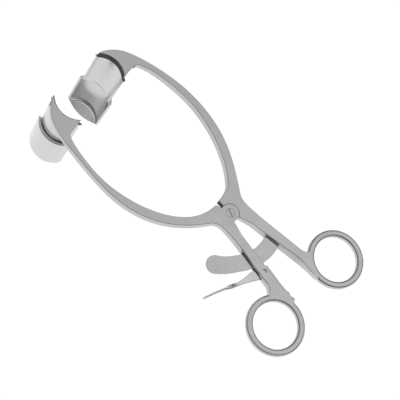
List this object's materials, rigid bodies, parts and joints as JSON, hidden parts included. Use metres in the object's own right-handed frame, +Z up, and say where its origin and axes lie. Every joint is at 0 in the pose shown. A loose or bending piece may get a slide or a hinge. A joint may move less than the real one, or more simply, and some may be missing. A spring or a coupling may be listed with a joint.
{
  "type": "rectal retractor",
  "caption": "Self-retaining rectal retractor with ring handles, bowed arms, stepped trough blades and a toothed ratchet bar with a release lever.",
  "frame": {"origin": "middle of the footprint, on the surface that the retractor rests on", "axes": "+X from the finger rings towards the blades, +Y towards the right arm, +Z up"},
  "size_m": [0.2315, 0.0968, 0.0836],
  "materials": {
    "frame": "satin stainless steel",
    "ratchet": "satin stainless steel",
    "blade": "fine satin polished stainless steel",
    "braze": "dark brazed seam"
  },
  "bodies": {
    "left": {"left_arm": "frame", "lever_pin": "ratchet", "leaf_spring": "ratchet", "spring_screws": "ratchet", "left_blade": "blade", "left_blade_end": "blade", "left_braze": "braze"},
    "right": {"right_arm": "frame", "joint_screw": "frame", "ratchet_bar": "ratchet", "right_blade": "blade", "right_blade_end": "blade", "right_braze": "braze"},
    "lever": {"release_lever": "ratchet"}
  },
  "joints": [
    {"name": "arm_joint", "type": "hinge", "parent": "left", "child": "right", "pos_m": [-0.03476, 0.00422, 0.03465], "axis": [-0.3746, 0, 0.9272], "range_deg": [-14, 13]},
    {"name": "release_joint", "type": "hinge", "parent": "left", "child": "lever", "pos_m": [-0.07069, -0.00961, 0.02013], "axis": [-0.3746, 0, 0.9272], "range_deg": [0, 8], "stiffness_Nm_per_rad": 0.06, "springref_deg": -8.59}
  ]
}
